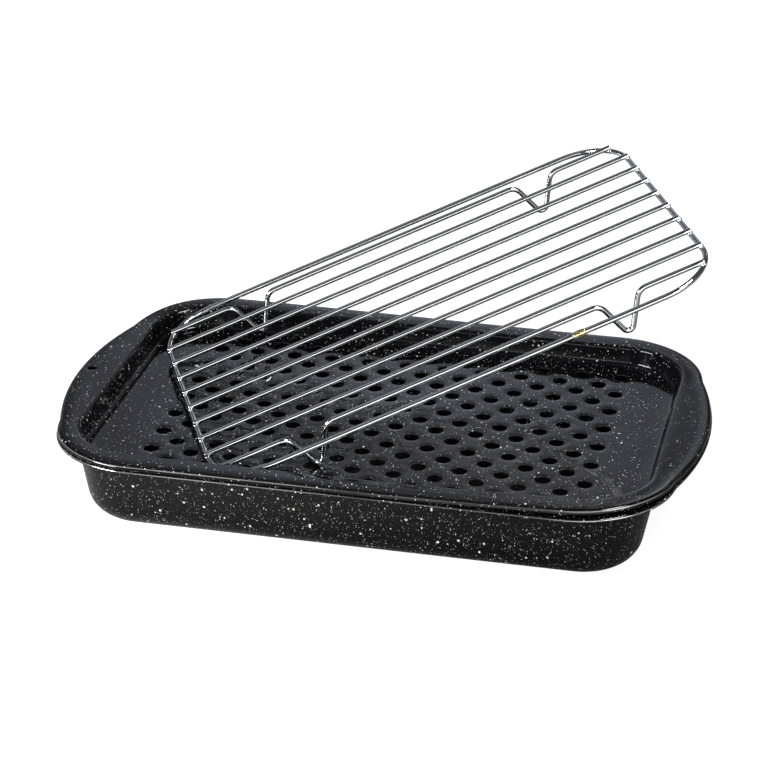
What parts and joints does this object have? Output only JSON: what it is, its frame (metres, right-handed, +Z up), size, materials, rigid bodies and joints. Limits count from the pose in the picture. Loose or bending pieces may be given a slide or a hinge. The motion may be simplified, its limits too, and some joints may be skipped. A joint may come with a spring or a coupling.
{
  "type": "roasting pan with rack",
  "caption": "Black speckled enamel roasting pan with a perforated grill tray nested on its rim and a chrome wire rack leaning in the tray.",
  "frame": {"origin": "middle of the pan's flat underside", "axes": "+X along the long side towards the handle without a hole, +Y to the back, towards the rack's raised corner, +Z up"},
  "size_m": [0.4064, 0.3266, 0.1653],
  "materials": {
    "enamel": "gloss black vitreous enamel with fine pale speckles",
    "chrome": "bright plated wire",
    "braze": "bare brass-coloured butt joint"
  },
  "bodies": {
    "pan_body": {"pan": "enamel"},
    "tray_body": {"grill_tray": "enamel"},
    "rack_body": {"frame_wire": "chrome", "frame_butt_weld": "braze", "cross_wire_1": "chrome", "cross_wire_2": "chrome", "cross_wire_3": "chrome", "cross_wire_4": "chrome", "cross_wire_5": "chrome", "cross_wire_6": "chrome", "cross_wire_7": "chrome", "cross_wire_8": "chrome", "leg_wire_back": "chrome", "leg_wire_front": "chrome"}
  },
  "joints": [
    {"name": "tray_lift", "type": "slide", "parent": "pan_body", "child": "tray_body", "axis": [0, 0, 1], "range_m": [0, 0.12]},
    {"name": "rack_lift", "type": "slide", "parent": "tray_body", "child": "rack_body", "axis": [0, 0, 1], "range_m": [0, 0.15]}
  ]
}
